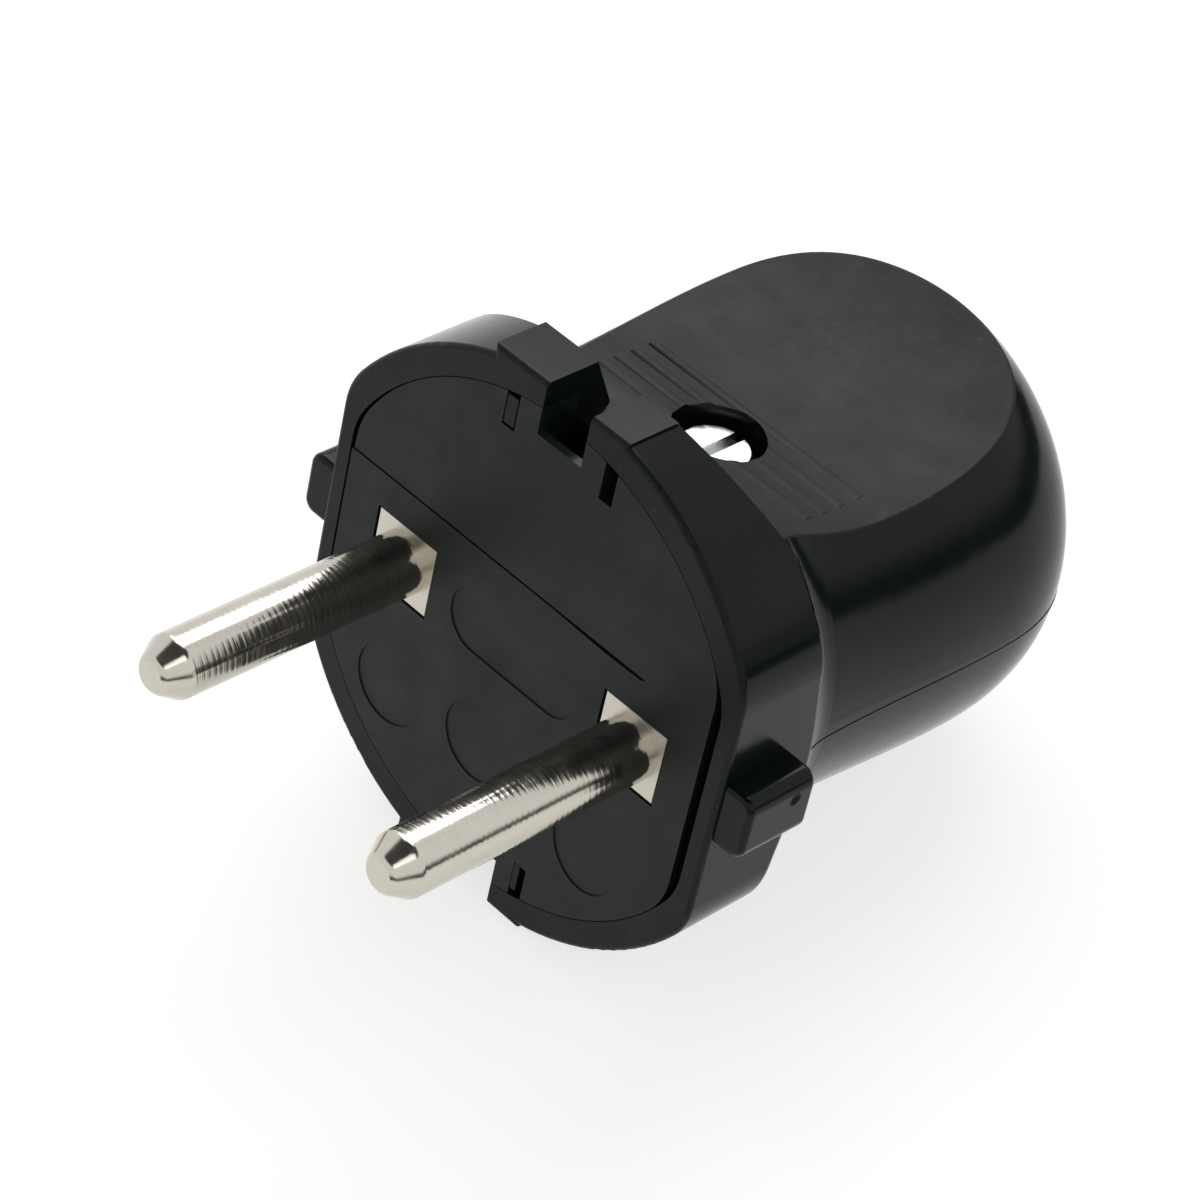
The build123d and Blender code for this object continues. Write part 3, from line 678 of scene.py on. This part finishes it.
def opal_sheet(colours, glow):
    """Opal acrylic sheet of a light table: the eye sees an even white with hardly a shadow on it."""
    material, tree, axes = start_material("opal_acrylic_sheet")
    # Faint clouds of 20 mm in the sheet
    cloud = add(tree, "ShaderNodeTexNoise", {"Vector": axes, "Scale": per_mm(20.0),
                                             "Detail": 4.0}).outputs["Fac"]
    end_material(tree, {"Base Color": shade(tree, cloud, colours.table, low=0.97, high=1.0),
                        "Roughness": 0.8, "Specular IOR Level": 0.0, "Emission Color": (1, 1, 1, 1),
                        "Emission Strength": glow})
    return material


def pale_room(stage):
    """Pale walls under a dim ceiling, with a dim gap between the table's edge and their foot on the right.

    The camera sees plain white where it looks past the table.
    """
    world = bpy.data.worlds.new("pale_room")
    world.use_nodes = True
    tree = world.node_tree
    tree.nodes.clear()
    way = add(tree, "ShaderNodeTexCoord").outputs["Generated"]
    split = add(tree, "ShaderNodeSeparateXYZ", {"Vector": way}).outputs
    height = split["Z"]
    closed = add(tree, "ShaderNodeMapRange",
                 {"Value": split["X"], "From Min": GAP_CLOSES[0], "From Max": GAP_CLOSES[1],
                  "To Min": stage.gap, "To Max": stage.wall}).outputs[0]
    walls = add(tree, "ShaderNodeMapRange",
                {"Value": height, "From Min": WALL_FOOT[0], "From Max": WALL_FOOT[1],
                 "To Min": closed, "To Max": stage.wall}, interpolation_type="SMOOTHSTEP").outputs[0]
    ceiling = add(tree, "ShaderNodeMapRange",
                  {"Value": height, "From Min": CEILING_EDGE[0], "From Max": CEILING_EDGE[1],
                   "To Min": 1.0, "To Max": stage.gap}, interpolation_type="SMOOTHSTEP").outputs[0]
    walls = add(tree, "ShaderNodeMath", {0: walls, 1: ceiling}, operation="MULTIPLY").outputs[0]
    seen = add(tree, "ShaderNodeLightPath").outputs["Is Camera Ray"]
    strength = add(tree, "ShaderNodeMix", {"Factor": seen, "A": walls, "B": 1.0}).outputs["Result"]
    light = add(tree, "ShaderNodeBackground", {"Color": (1, 1, 1, 1), "Strength": strength}).outputs[0]
    add(tree, "ShaderNodeOutputWorld", {"Surface": light})
    return world


class PLUG_OT_stage(Operator):
    """Sets the pale table, the soft lights and the camera"""

    bl_idname = "plug.stage"
    bl_label = "Table, lights and camera"

    def execute(self, context):
        scene, stage = context.scene, context.scene.plug_stage
        mesh = bpy.data.meshes.new("table")
        corners = [(x * TABLE_HALF, y * TABLE_HALF, 0) for x, y in ((-1, -1), (1, -1), (1, 1), (-1, 1))]
        mesh.from_pydata(corners, [], [(0, 1, 2, 3)])
        table = bpy.data.objects.new("table", mesh)
        scene.collection.objects.link(table)
        show_as(table, opal_sheet(scene.plug_colours, stage.glow))
        scene.world = pale_room(stage)
        for name, place, size, power in LIGHTS:
            lamp = bpy.data.lights.new(name, "AREA")
            lamp.energy, lamp.size = power, size
            holder = bpy.data.objects.new(name, lamp)
            holder.location = place
            holder.rotation_euler = (-Vector(place)).to_track_quat("-Z", "Y").to_euler()
            scene.collection.objects.link(holder)
        camera = bpy.data.cameras.new("camera")
        camera.lens, camera.sensor_width = stage.lens, SENSOR_MM
        camera.clip_start, camera.clip_end = 0.01, 20
        turn = (Matrix.Rotation(stage.azimuth, 4, "Z")
                @ Matrix.Rotation(math.pi / 2 - stage.elevation, 4, "X")
                @ Matrix.Rotation(stage.roll, 4, "Z"))
        holder = bpy.data.objects.new("camera", camera)
        holder.matrix_world = (PLUG @ Matrix.Translation(stage.aim) @ turn
                               @ Matrix.Translation((0, 0, stage.distance)))
        scene.collection.objects.link(holder)
        scene.camera = holder
        scene.view_settings.view_transform = "Standard"
        return {"FINISHED"}


class PLUG_PT_finish(Panel):
    """Finish of the two-pin plug"""

    bl_label = "Two-pin plug finish"
    bl_idname = "PLUG_PT_finish"
    bl_space_type = "VIEW_3D"
    bl_region_type = "UI"
    bl_category = "Plug"

    def draw(self, context):
        for made in OPERATORS:
            self.layout.operator(made.bl_idname)
        for group in (context.scene.plug_sizes, context.scene.plug_colours, context.scene.plug_stage):
            box = self.layout.box()
            for name in group.bl_rna.properties.keys():
                if name not in ("rna_type", "name"):
                    box.prop(group, name)


OPERATORS = (PLUG_OT_hood, PLUG_OT_insert, PLUG_OT_pins, PLUG_OT_screws, PLUG_OT_stage)
CLASSES = (PlugSizes, PlugColours, PlugStage, *OPERATORS, PLUG_PT_finish)


def register():
    """Registers the classes and puts their settings on the scene."""
    for made in CLASSES:
        bpy.utils.register_class(made)
    bpy.types.Scene.plug_sizes = PointerProperty(type=PlugSizes)
    bpy.types.Scene.plug_colours = PointerProperty(type=PlugColours)
    bpy.types.Scene.plug_stage = PointerProperty(type=PlugStage)


def unregister():
    """Takes the settings and the classes away again."""
    del bpy.types.Scene.plug_sizes
    del bpy.types.Scene.plug_colours
    del bpy.types.Scene.plug_stage
    for made in reversed(CLASSES):
        bpy.utils.unregister_class(made)


def main():
    """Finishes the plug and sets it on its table."""
    register()
    bpy.ops.plug.hood()
    bpy.ops.plug.insert()
    bpy.ops.plug.pins()
    bpy.ops.plug.screws()
    bpy.ops.plug.stage()


if __name__ == "__main__":
    main()
